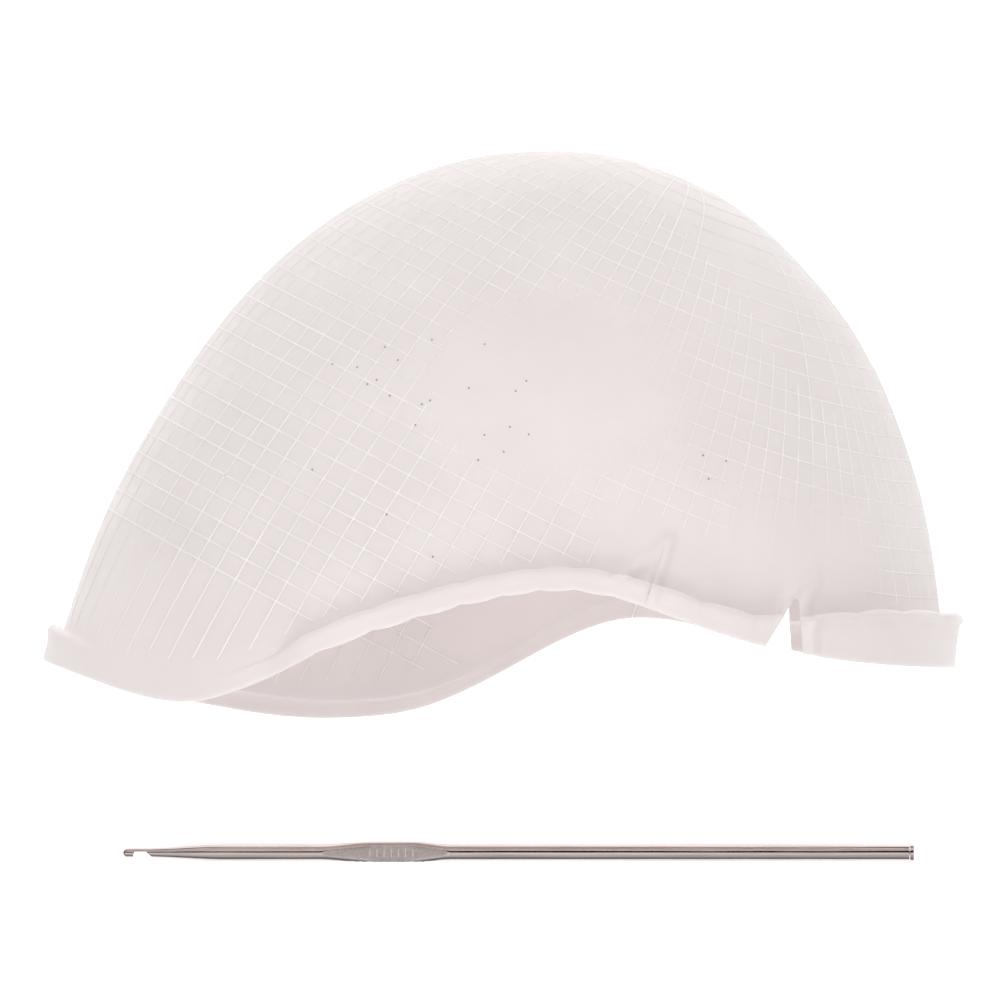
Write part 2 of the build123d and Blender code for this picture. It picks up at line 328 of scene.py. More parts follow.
def upright_block(name, outline, low, high):
    """Straight block over an outline in millimetres, used to cut."""
    count = len(outline)
    points = [(x * MM, y * MM, z * MM) for z in (low, high) for x, y in outline]
    faces = [tuple(range(count))[::-1], tuple(range(count, 2 * count))]
    faces += [(i, (i + 1) % count, count + (i + 1) % count, count + i) for i in range(count)]
    block = new_piece(name, points, faces, None)
    if signed_area(outline) < 0:
        block.data.flip_normals()
    return block


def signed_area(outline):
    return sum(ax * by - bx * ay for (ax, ay), (bx, by) in zip(outline, outline[1:] + outline[:1])) / 2


def cut(piece, block, operation):
    """Exact boolean of the piece with a block."""
    modifier = piece.modifiers.new("Cut", "BOOLEAN")
    modifier.object, modifier.operation, modifier.solver = block, operation, "EXACT"
    settle_modifiers(piece)


def grid_faces(rows, columns, closed_columns=True):
    """Quads between rows of points. Each row is a ring, unless closed_columns is False."""
    faces = []
    last = columns if closed_columns else columns - 1
    for row in range(rows - 1):
        for i in range(last):
            j = (i + 1) % columns
            here, above = row * columns, (row + 1) * columns
            faces.append((here + i, here + j, above + j, above + i))
    return faces


# ---------------------------------------------------------------- geometry node helpers
class TreeMaker:
    """A Geometry Nodes tree that ends in Realize Instances and Set Material."""

    def __init__(self, name, **inputs):
        self.tree = bpy.data.node_groups.new(name, "GeometryNodeTree")
        self.tree.interface.new_socket("Geometry", in_out="INPUT", socket_type="NodeSocketGeometry")
        for label, kind in inputs.items():
            self.tree.interface.new_socket(label, in_out="INPUT", socket_type=f"NodeSocket{kind}")
        self.tree.interface.new_socket("Finish", in_out="INPUT", socket_type="NodeSocketMaterial")
        self.tree.interface.new_socket("Geometry", in_out="OUTPUT", socket_type="NodeSocketGeometry")
        self.given = self.tree.nodes.new("NodeGroupInput").outputs
        self.result = self.tree.nodes.new("NodeGroupOutput").inputs[0]

    def node(self, kind, settings=None, **inputs):
        made = self.tree.nodes.new(kind)
        for key, value in (settings or {}).items():
            setattr(made, key, value)
        for label, value in inputs.items():
            socket = made.inputs[label.replace("_", " ")]
            if isinstance(value, bpy.types.NodeSocket):
                self.tree.links.new(value, socket)
            else:
                socket.default_value = value
        return made

    def finish(self, geometry):
        real = self.node("GeometryNodeRealizeInstances", Geometry=geometry)
        painted = self.node("GeometryNodeSetMaterial", Geometry=real.outputs[0],
                            Material=self.given["Finish"])
        self.tree.links.new(painted.outputs[0], self.result)
        return self.tree


def run_tree(piece, tree, **values):
    """Puts the tree on the piece with its inputs set, and turns the result into a plain mesh."""
    modifier = piece.modifiers.new(tree.name, "NODES")
    modifier.node_group = tree
    for socket in tree.interface.items_tree:
        if socket.in_out == "INPUT" and socket.name in values:
            modifier[socket.identifier] = values[socket.name]
    return settle_modifiers(piece)


# ---------------------------------------------------------------- finishes
class FinishMaker:
    """A Principled finish whose pattern reads Object coordinates."""

    def __init__(self, name, stretch=(1, 1, 1), **constants):
        self.material = bpy.data.materials.new(name)
        self.material.use_nodes = True
        self.nodes, self.links = self.material.node_tree.nodes, self.material.node_tree.links
        self.shader = self.nodes["Principled BSDF"]
        for label, value in constants.items():
            self.shader.inputs[label.replace("_", " ")].default_value = value
        coordinates = self.nodes.new("ShaderNodeTexCoord")
        self.mapping = self.nodes.new("ShaderNodeMapping")
        self.mapping.inputs["Scale"].default_value = stretch
        self.links.new(coordinates.outputs["Object"], self.mapping.inputs["Vector"])

    def noise(self, scale, detail=3.0):
        texture = self.nodes.new("ShaderNodeTexNoise")
        texture.inputs["Scale"].default_value = scale
        texture.inputs["Detail"].default_value = detail
        self.links.new(self.mapping.outputs[0], texture.inputs["Vector"])
        return texture.outputs["Fac"]

    def tint(self, pattern, low, high):
        ramp = self.nodes.new("ShaderNodeValToRGB")
        ramp.color_ramp.elements[0].position, ramp.color_ramp.elements[1].position = 0.35, 0.65
        ramp.color_ramp.elements[0].color = (*low, 1)
        ramp.color_ramp.elements[1].color = (*high, 1)
        self.links.new(pattern, ramp.inputs["Fac"])
        self.links.new(ramp.outputs["Color"], self.shader.inputs["Base Color"])

    def roughen(self, pattern, low, high):
        spread = self.nodes.new("ShaderNodeMapRange")
        spread.inputs["To Min"].default_value, spread.inputs["To Max"].default_value = low, high
        self.links.new(pattern, spread.inputs["Value"])
        self.links.new(spread.outputs["Result"], self.shader.inputs["Roughness"])

    def bump(self, pattern, depth, strength=1.0):
        """Adds bumps of that depth in metres on top of those made before."""
        made = self.nodes.new("ShaderNodeBump")
        made.inputs["Distance"].default_value = depth
        made.inputs["Strength"].default_value = strength
        self.links.new(pattern, made.inputs["Height"])
        before = self.shader.inputs["Normal"].links
        if before:
            self.links.new(before[0].from_socket, made.inputs["Normal"])
        self.links.new(made.outputs["Normal"], self.shader.inputs["Normal"])


def shade_of(colour, share):
    return tuple(min(1.0, c * share) for c in colour)


def silicone_finish(colours):
    """Milky translucent silicone with a soft waxy gloss, less deep where the ear tabs meet the crown."""
    finish = FinishMaker("milky_silicone", Subsurface_Radius=(1.0, 0.92, 0.9),
                         Subsurface_Scale=2.5 * MM, Specular_IOR_Level=0.35)
    depth = finish.nodes.new("ShaderNodeAttribute")
    depth.attribute_name = "scatter"
    finish.links.new(depth.outputs["Fac"], finish.shader.inputs["Subsurface Weight"])
    finish.tint(finish.noise(38, 4), shade_of(colours.silicone, 0.98), shade_of(colours.silicone, 1.015))
    finish.roughen(finish.noise(90), 0.38, 0.6)
    finish.bump(finish.noise(120), 0.35 * MM, 0.6)
    finish.bump(finish.noise(700, 5), 0.06 * MM, 0.5)
    return finish.material


def guide_finish(colours):
    """The raised guide lines, painted a little lighter than the skin as a highlight on the ridges."""
    finish = FinishMaker("guide_line_silicone", Specular_IOR_Level=0.35)
    finish.tint(finish.noise(60), shade_of(colours.guide, 0.94), colours.guide)
    finish.roughen(finish.noise(200), 0.45, 0.65)
    finish.bump(finish.noise(900), 0.04 * MM, 0.5)
    return finish.material


def pinhole_finish(colours):
    """Shade inside a pinhole."""
    finish = FinishMaker("pinhole_shade", Specular_IOR_Level=0.1)
    finish.tint(finish.noise(2000), shade_of(colours.silicone, 0.36), shade_of(colours.silicone, 0.5))
    finish.roughen(finish.noise(1500), 0.8, 0.95)
    return finish.material


def nickel_finish(colours):
    """Bright plating with fine marks along the shaft."""
    finish = FinishMaker("polished_nickel", stretch=(0.06, 1, 1), Metallic=1.0)
    finish.tint(finish.noise(900, 4), shade_of(colours.steel, 0.85), shade_of(colours.steel, 1.0))
    finish.roughen(finish.noise(1400, 4), 0.05, 0.16)
    finish.bump(finish.noise(1800, 4), 0.02 * MM, 0.35)
    return finish.material


def pressed_highlit_finish(colours):
    """The matte pressed faces of the thumb rest."""
    finish = FinishMaker("pressed_nickel_painted_highlight", Metallic=1.0)
    # Painted highlight: the flats are tinted up to a fifth lighter than the shaft's steel for light caught on
    # them; their matte roughness is real.
    finish.tint(finish.noise(1500, 4), shade_of(colours.steel, 0.98), shade_of(colours.steel, 1.2))
    finish.roughen(finish.noise(2500), 0.34, 0.5)
    finish.bump(finish.noise(3500, 5), 0.05 * MM, 0.6)
    return finish.material


def table_finish(colours):
    """Plain pale table."""
    finish = FinishMaker("pale_table", Specular_IOR_Level=0.2, Emission_Color=(1, 1, 1, 1),
                         Emission_Strength=0.6)
    finish.tint(finish.noise(3), shade_of(colours.floor, 0.995), colours.floor)
    finish.roughen(finish.noise(8), 0.75, 0.85)
    return finish.material


# ---------------------------------------------------------------- the skin
SKIN_COLUMNS, DOME_ROWS, INNER_ROWS = 440, 64, 44
RIM_TOP = 2.6 * MM  # the rim's rows start this far above the ledge
SCATTER = 0.35  # how much light goes into the silicone, away from the hinges
SCALLOP_LENGTH = 11.5 * MM  # from one swell of the band to the next
NAPE_WIDENING, NAPE_TAPER = 1.4 * MM, 2.4 * MM  # extra step at the nape, and how far it turns in
EDGE_WAVE = 0.9 * MM  # unevenness of the cut edge
FIRST_SHARE = 0.025  # the ring next to the crown, as a share of the way to the rim


def skin_turns():
    """Turns round the dome, closer together by the ear notches on both sides."""
    turn = np.linspace(0, 2 * math.pi, 4001)
    density = np.ones_like(turn)
    for middle in (math.radians(62), math.radians(298)):
        density += 1.6 * np.exp(-((turn - middle) / 0.38) ** 2)
    share = np.concatenate([[0], np.cumsum((density[1:] + density[:-1]) / 2)])
    return np.interp(np.arange(SKIN_COLUMNS) / SKIN_COLUMNS * share[-1], share, turn)


def ledge_of(dome, turn):
    """Y of the ledge line at each turn round the dome."""
    low = np.full_like(turn, dome.shape.skirt + MM)
    high = np.full_like(turn, 60 * MM)
    for _ in range(40):
        y = (low + high) / 2
        p = dome.on_oval(turn, y)
        above = y > ledge_level(p[..., 0], p[..., 2])
        high, low = np.where(above, y, high), np.where(above, low, y)
    return (low + high) / 2


def rim_profile(wall, step, bead, height, bump, edge):
    """Rows of (out, down, share of the inner face), from the dome over the ledge, round the rim and back in.

    The bead lifts the ledge's corner, by more where there is a bump, and goes where the ledge fades out.
    """
    none = 0 * step
    return [(none, none - 2.0 * MM, 0), (0.02 * step, none - 1.3 * MM, 0), (0.10 * step, none - 0.8 * MM, 0),
            (0.28 * step, none - 0.5 * MM, 0), (0.5 * step, -0.35 * MM - bead * (0.15 * MM + 0.25 * bump), 0),
            (0.72 * step, -0.2 * MM - bead * (0.55 * MM + 0.5 * bump), 0),
            (0.9 * step + 0.2 * bump, -bead * (0.75 * MM + 0.6 * bump), 0),
            (1.04 * step + 0.45 * bump, 0.2 * MM - bead * (0.5 * MM + 0.4 * bump), 0),
            (1.08 * step + 0.6 * bump, none + 0.5 * MM, 0), (1.05 * step + 0.5 * bump, none + 1.2 * MM, 0),
            (step + 0.25 * bump, none + 2.0 * MM, 0), (step, 0.55 * height, 0),
            (step, height - 1.2 * MM + edge, 0), (step - 0.05 * MM, height - 0.5 * MM + edge, 0),
            (step - 0.25 * MM, height - 0.12 * MM + edge, 0.1), (step - 0.5 * wall, height + edge, 0.5),
            (step - 0.8 * wall, height - 0.12 * MM + edge, 0.9),
            (step - 0.97 * wall, height - 0.5 * MM + edge, 1),
            (step - wall, height - 1.2 * MM + edge, 1), (step - wall, 0.55 * height, 1),
            (step - wall, none + 2.1 * MM, 1), (0.82 * step - wall, none + 1.35 * MM, 1),
            (0.4 * step - wall, none + 1.0 * MM, 1), (0.05 * step - wall, none + 0.5 * MM, 1),
            (none - wall, none - 0.4 * MM, 1), (none - wall, none - 1.8 * MM, 1)]


def skin_rows(dome):
    """Every ring of the closed skin, from the crown down outside, round the rim and back up inside."""
    shape = dome.shape
    turn = skin_turns()
    ledge = ledge_of(dome, turn)
    at_ledge = dome.on_oval(turn, ledge)
    x, z = at_ledge[:, 0], at_ledge[:, 2]
    near = nearness(z)
    # The forehead's near side has almost no ledge: it fades into the wall.
    fade = window(x, -129 * MM, -66 * MM, 14 * MM) * np.clip((near - 0.55) / 0.2, 0, 1)
    at_nape = window(x, 88 * MM, 200 * MM, 40 * MM)
    step = shape.ledge * (1 - fade) + NAPE_WIDENING * at_nape
    height = band_height(x, z)
    phase = x / SCALLOP_LENGTH + 0.3 * np.sin(x / (19 * MM))
    scale = np.abs(np.sin(math.pi * phase)) ** 0.6
    short = window(x, -84 * MM, -60 * MM, 10 * MM)
    behind_slit = window(x, 28 * MM, 200 * MM, 4 * MM)
    bump = MM * ((0.25 + (0.95 + 0.6 * behind_slit) * scale) * (1 - fade) + 0.7 * fade * short * scale**3)
    taper = NAPE_TAPER * at_nape
    edge = EDGE_WAVE * (scale - 0.6) * near * window(x, -66 * MM, 20 * MM, 12 * MM)
    top = ledge + RIM_TOP
    rows = []
    far_from_rim = shape.crown - top
    shares = np.linspace(FIRST_SHARE, 1, DOME_ROWS)
    eased = np.where(shares < 0.7, shares / 0.7 * 0.86, 0.86 + (shares - 0.7) / 0.3 * 0.14)
    for share in eased:
        p = dome.on_oval(turn, shape.crown - far_from_rim * share**2)
        rows.append(dome.lay(p, dome.lips(p), 0.0))
    for out, down, inner in rim_profile(shape.wall, step, 1 - fade, height, bump, edge):
        p = dome.on_oval(turn, ledge - down)
        on_face = 1 - inner
        out = out - taper * np.clip(down / height, 0, 1)
        rows.append(dome.lay(p, out + on_face * dome.lips(p), inner * shape.wall))
    for share in np.linspace(1, FIRST_SHARE, INNER_ROWS):
        p = dome.on_oval(turn, shape.crown - far_from_rim * share**2)
        rows.append(dome.lay(p, -shape.wall, shape.wall))
    return rows


def make_skin(dome, material):
    """The closed skin with a pole at the crown on each face."""
    rows = skin_rows(dome)
    columns = len(rows[0])
    points = [p for row in rows for p in row]
    faces = grid_faces(len(rows), columns)
    crown_out, crown_in = len(points), len(points) + 1
    points += [rows[0].mean(0) + (0, 0.05 * MM, 0), rows[-1].mean(0) + (0, 0.05 * MM, 0)]
    last = (len(rows) - 1) * columns
    faces += [(crown_out, (i + 1) % columns, i) for i in range(columns)]
    faces += [(crown_in, last + i, last + (i + 1) % columns) for i in range(columns)]
    skin = new_piece("cap_skin", points, faces, material)
    place = np.array(points)
    by_hinge = distance_to_line(place[:, 0], place[:, 1], [SLIT_APEX, VEE_APEX])
    scatter = skin.data.attributes.new("scatter", "FLOAT", "POINT")
    scatter.data.foreach_set("value", (SCATTER * window(by_hinge, 3.5 * MM, 1, 5 * MM)).astype(np.float32))
    return skin


# ---------------------------------------------------------------- outlines of the ear tabs
def along(start, end, distance, aside):
    """Point at a distance from start towards end, moved aside to the left of that direction."""
    length = math.dist(start, end)
    dx, dy = (end[0] - start[0]) / length, (end[1] - start[1]) / length
    return start[0] + dx * distance - dy * aside, start[1] + dy * distance + dx * aside


def leg(apex, mouth, aside):
    """One edge of a notch, from its apex past its mouth."""
    return along(apex, mouth, 0, aside), along(apex, mouth, math.dist(apex, mouth) + NOTCH_RUN, aside)


def crossing(first, second):
    """Where two lines meet."""
    (ax, ay), (bx, by) = first
    (cx, cy), (dx, dy) = second
    spread = (bx - ax) * (dy - cy) - (by - ay) * (dx - cx)
    run = ((cx - ax) * (dy - cy) - (cy - ay) * (dx - cx)) / spread
    return ax + run * (bx - ax), ay + run * (by - ay)


def tab_outline(slit_aside, vee_mouth, vee_aside):
    """From the mouth of the slit over the hinge line to the mouth of the vee."""
    slit, hinge = leg(SLIT_APEX, SLIT_MOUTH, slit_aside), (SLIT_APEX, VEE_APEX)
    vee = leg(VEE_APEX, vee_mouth, vee_aside)
    return [slit[1], crossing(slit, hinge), crossing(hinge, vee), vee[1]]


# ---------------------------------------------------------------- the guide net
class GuideNet:
    """Two families of lines that cross at right angles all over the dome."""

    # How the first family slopes, and where it is spaced out.
    TILT, BEND_START, BEND_LENGTH, SHIFT = 0.53, -110 * MM, 230 * MM, 9 * MM
    LEVELS_AT, SEED_LEVEL = 42 * MM, 20 * MM
    # How the second family is followed: it ends where it is too flat, too low or too near its neighbour.
    TRAIL_STEP, STEPS_UP, STEPS_DOWN = 3.2 * MM, 70, 40
    LEAST_STEEP, LOWEST, CLOSEST = 0.16, -55 * MM, 0.55
    # What both keep clear of.
    EAR_FRONT, EAR_BACK, EAR_CLEARANCE, LEDGE_CLEARANCE = 17 * MM, 86 * MM, 6.5 * MM, 3.5 * MM

    def __init__(self, dome, pitch):
        self.dome, self.pitch = dome, pitch

    def fall(self, x):
        """How far a line of the first family has fallen at x."""
        u = x + self.SHIFT
        return self.TILT * (u - (u - self.BEND_START) ** 5 / (5 * self.BEND_LENGTH**4))

    def lean_of(self, x):
        """Slope of fall() at x."""
        return self.TILT * (1 - ((x + self.SHIFT - self.BEND_START) / self.BEND_LENGTH) ** 4)

    def loop(self, level, count=260):
        """One line of the first family, all the way round."""
        x = np.linspace(-137, 113, 5001) * MM
        y = level - self.fall(x)
        reach, _ = self.dome.reaches(x, y)
        on = np.flatnonzero((np.abs(x) < reach) & (y < self.dome.shape.crown - 0.02 * MM))
        if len(on) < 20:
            return None
        low, high = x[on[0]], x[on[-1]]
        turn = np.linspace(0, 2 * math.pi, count)
        x = (low + high) / 2 - (high - low) / 2 * np.cos(turn)
        y = level - self.fall(x)
        reach, side = self.dome.reaches(x, y)
        rise = side * np.sqrt(np.clip(1 - (x / reach) ** 2, 0, 1))
        return np.stack([x, y, self.dome.middle(y) + np.sign(np.sin(turn)) * rise], -1)

    def levels(self, x=LEVELS_AT):
        """Levels a pitch apart down the near side of a cross-section."""
        y = np.linspace(self.dome.shape.crown, -70 * MM, 4000)
        reach, side = self.dome.reaches(np.full_like(y, x), y)
        on = np.abs(x) < reach
        y, reach, side = y[on], reach[on], side[on]
        z = self.dome.middle(y) + side * np.sqrt(1 - (x / reach) ** 2)
        run = np.concatenate([[0], np.cumsum(np.hypot(np.diff(y), np.diff(z)))])
        marks = np.arange(self.pitch / 2, run[-1], self.pitch)
        return np.interp(marks, run, y) + self.fall(x)

    def uphill(self, p):
        """Direction of the second family, and how steep the first family's levels are there."""
        up = np.stack([self.lean_of(p[:, 0]), np.ones(len(p)), np.zeros(len(p))], -1)
        normal = self.dome.normal(p)
        flat = up - np.sum(up * normal, -1)[:, None] * normal
        steep = np.linalg.norm(flat, axis=-1)
        return flat / np.maximum(steep, 1e-6)[:, None], steep

    def run_from(self, seeds, step, count):
        """Follows the second family from the seeds, and stops a line that comes too near its neighbour."""
        trails = [[p] for p in seeds]
        alive = np.arange(len(seeds))
        p = seeds.copy()
        for _ in range(count):
            direction, steep = self.uphill(p)
            halfway, _ = self.uphill(self.dome.settle(p + direction * step / 2))
            p = self.dome.settle(p + halfway * step)
            on_dome = (p[:, 1] > self.LOWEST) & (p[:, 1] < self.dome.shape.crown - 0.3 * MM)
            keep = (steep > self.LEAST_STEEP) & on_dome
            last = None
            for i in range(len(p)):
                crowded = last is not None and np.linalg.norm(p[i] - p[last]) < self.CLOSEST * self.pitch
                if keep[i] and crowded:
                    keep[i] = False
                elif keep[i]:
                    last = i
            alive, p = alive[keep], p[keep]
            for i, point in zip(alive, p):
                trails[i].append(point)
            if not len(alive):
                break
        return trails

    def lines(self):
        """Every line of both families, as runs of points on the dome."""
        first = [self.loop(level) for level in self.levels()]
        first = [line for line in first if line is not None]
        seed_line = self.loop(self.SEED_LEVEL, 2400)
        run = np.concatenate([[0], np.cumsum(np.linalg.norm(np.diff(seed_line, axis=0), axis=1))])
        marks = np.arange(0, run[-1] - self.pitch / 2, self.pitch)
        seeds = np.stack([np.interp(marks, run, seed_line[:, i]) for i in range(3)], -1)
        seeds = self.dome.settle(seeds)
        upper = self.run_from(seeds, self.TRAIL_STEP, self.STEPS_UP)
        lower = self.run_from(seeds, -self.TRAIL_STEP, self.STEPS_DOWN)
        second = [np.array(down[:0:-1] + up) for up, down in zip(upper, lower)]
        runs = []
        for line in first + second:
            if len(line) > 3:
                runs += self.clipped(self.thinned(line))
        return runs

    def thinned(self, line, spacing=2.6 * MM):
        """The same line with evenly spaced points."""
        run = np.concatenate([[0], np.cumsum(np.linalg.norm(np.diff(line, axis=0), axis=1))])
        marks = np.linspace(0, run[-1], max(4, int(run[-1] / spacing)))
        return self.dome.settle(np.stack([np.interp(marks, run, line[:, i]) for i in range(3)], -1))

    def clipped(self, line):
        """The parts of a line above the ledge and clear of the ear notches."""
        x, y, z = line[:, 0], line[:, 1], line[:, 2]
        hinge = (SLIT_APEX[1] + (x / MM - SLIT_APEX[0]) * (VEE_APEX[1] - SLIT_APEX[1])
                 / (VEE_APEX[0] - SLIT_APEX[0])) * MM
        by_ear = (x > self.EAR_FRONT) & (x < self.EAR_BACK) & (y < hinge + self.EAR_CLEARANCE)
        keep = (y > ledge_level(x, z) + self.LEDGE_CLEARANCE) & ~by_ear & (z > 0.6 * MM)
        edges = np.flatnonzero(np.diff(np.concatenate([[0], keep.astype(int), [0]])))
        return [line[a:b] for a, b in zip(edges[::2], edges[1::2]) if b - a > 3]

    def strength(self, p):
        """Lines are fainter in the middle of the near side and low on the nape."""
        near = p[:, 2] > self.dome.middle(p[:, 1])
        centre = np.exp(-((p[:, 0] - 5 * MM) / (48 * MM)) ** 2 - ((p[:, 1] - 48 * MM) / (34 * MM)) ** 2)
        low_nape = np.exp(-((p[:, 0] - 70 * MM) / (34 * MM)) ** 2 - (p[:, 1] / (20 * MM)) ** 2)
        return 1 - near * np.clip(0.34 * centre + 0.3 * low_nape, 0, 0.27)


def rib_tree():
    maker = TreeMaker("Guide ribs", **{"Rib radius": "Float", "Sides": "Int"})
    lines = maker.node("GeometryNodeMeshToCurve", Mesh=maker.given["Geometry"])
    thickness = maker.node("GeometryNodeInputNamedAttribute", {"data_type": "FLOAT"}, Name="strength")
    profile = maker.node("GeometryNodeCurvePrimitiveCircle", Resolution=maker.given["Sides"],
                         Radius=maker.given["Rib radius"])
    ribs = maker.node("GeometryNodeCurveToMesh", Curve=lines.outputs[0], Profile_Curve=profile.outputs[0],
                      Fill_Caps=True)
    maker.tree.links.new(thickness.outputs["Attribute"], ribs.inputs["Scale"])
    return maker.finish(ribs.outputs[0])


def line_piece(name, runs, strengths):
    """Mesh of edges only, with each point's share of the full rib thickness."""
    points, edges = [], []
    for run in runs:
        edges += [(len(points) + i, len(points) + i + 1) for i in range(len(run) - 1)]
        points += [tuple(p) for p in run]
    mesh = bpy.data.meshes.new(name)
    mesh.from_pydata(points, edges, [])
    values = mesh.attributes.new("strength", "FLOAT", "POINT")
    values.data.foreach_set("value", np.concatenate(strengths).astype(np.float32))
    piece = bpy.data.objects.new(name, mesh)
    bpy.context.scene.collection.objects.link(piece)
    return piece


# ---------------------------------------------------------------- pinholes
# Each zone's lowest and highest X and Y in millimetres, and its share of the pinholes.
PINHOLE_ZONES = [(-56, -2, 28, 62), (-100, -20, 0, 40), (20, 60, 8, 40)]
ZONE_SHARES = [0.7, 0.2, 0.1]
PINHOLE_DEPTH, PATCH_POINTS = 0.2 * MM, 25


def pinhole_tree():
    maker = TreeMaker("Pinholes", Density="Float", Seed="Int", **{"Pinhole radius": "Float"})
    spots = maker.node("GeometryNodeDistributePointsOnFaces", Mesh=maker.given["Geometry"],
                       Density=maker.given["Density"], Seed=maker.given["Seed"])
    plug = maker.node("GeometryNodeMeshCylinder", Vertices=10, Radius=maker.given["Pinhole radius"],
                      Depth=PINHOLE_DEPTH)
    placed = maker.node("GeometryNodeInstanceOnPoints", Points=spots.outputs["Points"],
                        Instance=plug.outputs["Mesh"], Rotation=spots.outputs["Rotation"])
    return maker.finish(placed.outputs[0])


def zone_patch(dome, zone):
    """Piece of the near side of the dome over a rectangle in millimetres."""
    low_x, high_x, low_y, high_y = (value * MM for value in zone)
    x, y = np.meshgrid(np.linspace(low_x, high_x, PATCH_POINTS), np.linspace(low_y, high_y, PATCH_POINTS))
    reach, side = dome.reaches(x, y)
    z = dome.middle(y) + side * np.sqrt(1 - (x / reach) ** 2)
    points = dome.lay(np.stack([x, y, z], -1)).reshape(-1, 3)
    faces = grid_faces(PATCH_POINTS, PATCH_POINTS, closed_columns=False)
    return new_piece("pinhole_patch", points, faces, None)


# ---------------------------------------------------------------- the hook
# Millimetres from the tip for the places along it, and millimetres or shares of the shaft for the rest.
NECK_END, HEAD_RADIUS, NOSE_END, THROAT_START, THROAT_END = 28.86, 1.4, 1.4, 2.89, 6.66
THROAT_FLOOR, THROAT_LEAN, THROAT_RUNOUT = 0.34, 0.5, 3.0
REST_START, REST_WIDE_START, REST_WIDE_END, REST_END = 55.5, 69.9, 81.0, 92.1
REST_WIDTH, REST_SPINE, REST_THICKNESS = 1.32, 0.84, 0.62
FLANGE, FLANGE_LENGTH = 0.25, 1.2
SIDE_POINTS, FLAT_POINTS = 18, 6
STEEPEST = math.radians(84)
NO_FLAT, NO_THROAT = 99, -2.5  # beyond the section, so that nothing is cut
TICK_WIDTH, TICK_LENGTH, TICK_DEPTH = 0.4 * MM, 2.2 * MM, 0.4 * MM
FACING_UP = 0.97  # a face this level is one of the thumb rest's pressed flats


def hook_section(u, shape):
    """Half width, half height, half thickness over the flats and lowest Y of the hook at u from the tip."""
    length, radius = shape.length / MM, shape.shaft / MM / 2
    if u < NOSE_END:
        half = math.sqrt(max(1e-4, HEAD_RADIUS**2 - (HEAD_RADIUS - u) ** 2))
    elif u < THROAT_END:
        half = HEAD_RADIUS
    elif u < NECK_END:
        t = (u - THROAT_END) / (NECK_END - THROAT_END)
        half = HEAD_RADIUS + (radius - HEAD_RADIUS) * t * t * (3 - 2 * t)
    elif u < length - FLANGE_LENGTH - FLANGE:
        half = radius
    else:
        half = radius + FLANGE * min(1, (u - length + FLANGE_LENGTH + FLANGE) / FLANGE)
        half -= max(0, u - length + FLANGE)
    widen = np.interp(u, [REST_START, REST_WIDE_START, REST_WIDE_END, REST_END], [0, 1, 1, 0])
    soft = widen * widen * (3 - 2 * widen)
    flat = radius - (radius - REST_THICKNESS * radius) * widen if widen else NO_FLAT
    floor = np.interp(u, [THROAT_START, THROAT_START + THROAT_LEAN, THROAT_END, THROAT_END + THROAT_RUNOUT],
                      [NO_THROAT, THROAT_FLOOR, THROAT_FLOOR, NO_THROAT])
    return half * (1 + (REST_WIDTH - 1) * soft), half * (1 + (REST_SPINE - 1) * soft), flat, floor


def hook_ring(u, shape):
    """Points round the hook at u from the tip: two round sides and two flats."""
    width, height, flat, floor = hook_section(u, shape)
    corner = min(STEEPEST, math.asin(min(flat / height, 1)))
    right = [(width * math.cos(a), height * math.sin(a)) for a in np.linspace(-corner, corner, SIDE_POINTS)]
    top = [(width * math.cos(corner) * s, height * math.sin(corner))
           for s in np.linspace(1, -1, FLAT_POINTS)[1:-1]]
    left = [(-y, z) for y, z in right[::-1]]
    bottom = [(-y, -z) for y, z in top]
    x, axis_y, axis_z = shape.tip + u * MM, shape.across, shape.axis_height
    return [(x, axis_y + max(y, floor) * MM, axis_z + z * MM) for y, z in right + top + left + bottom]


def hook_stations(shape):
    """Places of the rings along the hook, closer together where it changes."""
    length = shape.length / MM
    nose = NOSE_END * (1 - np.cos(np.linspace(0.12, math.pi / 2, 9)))
    parts = [nose, np.linspace(NOSE_END, THROAT_START - 0.05, 4), [THROAT_START],
             np.linspace(THROAT_START, THROAT_START + THROAT_LEAN, 5),
             np.linspace(THROAT_START + THROAT_LEAN, THROAT_END, 6),
             np.linspace(THROAT_END, THROAT_END + THROAT_RUNOUT, 14),
             np.linspace(THROAT_END + THROAT_RUNOUT, NECK_END, 30),
             np.linspace(NECK_END, REST_START, 10), np.linspace(REST_START, REST_WIDE_START, 22),
             np.linspace(REST_WIDE_START, REST_WIDE_END, 10), np.linspace(REST_WIDE_END, REST_END, 20),
             np.linspace(REST_END, length - FLANGE_LENGTH - FLANGE, 40),
             [length - FLANGE_LENGTH, length - FLANGE, length - FLANGE / 2, length]]
    return np.unique(np.round(np.concatenate(parts), 4))


def tick_tree():
    maker = TreeMaker("Thumb rest ticks", **{"Tick width": "Float", "Tick length": "Float"})
    size = maker.node("ShaderNodeCombineXYZ", X=maker.given["Tick width"], Y=maker.given["Tick length"],
                      Z=TICK_DEPTH)
    tick = maker.node("GeometryNodeMeshCube", Size=size.outputs[0])
    placed = maker.node("GeometryNodeInstanceOnPoints", Points=maker.given["Geometry"],
                        Instance=tick.outputs["Mesh"])
    return maker.finish(placed.outputs[0])


def material(name):
    found = bpy.data.materials.get(name)
    if found is None:
        raise RuntimeError(f"the finish {name} isn't made yet")
    return found


class CAP_OT_finishes(bpy.types.Operator):
    """Makes every finish"""
    bl_idname = "cap.finishes"
    bl_label = "Finishes"

    def execute(self, context):
        colours = context.scene.cap_finish
        for make in (silicone_finish, guide_finish, pinhole_finish, nickel_finish, pressed_highlit_finish,
                     table_finish):
            make(colours)
        return {"FINISHED"}


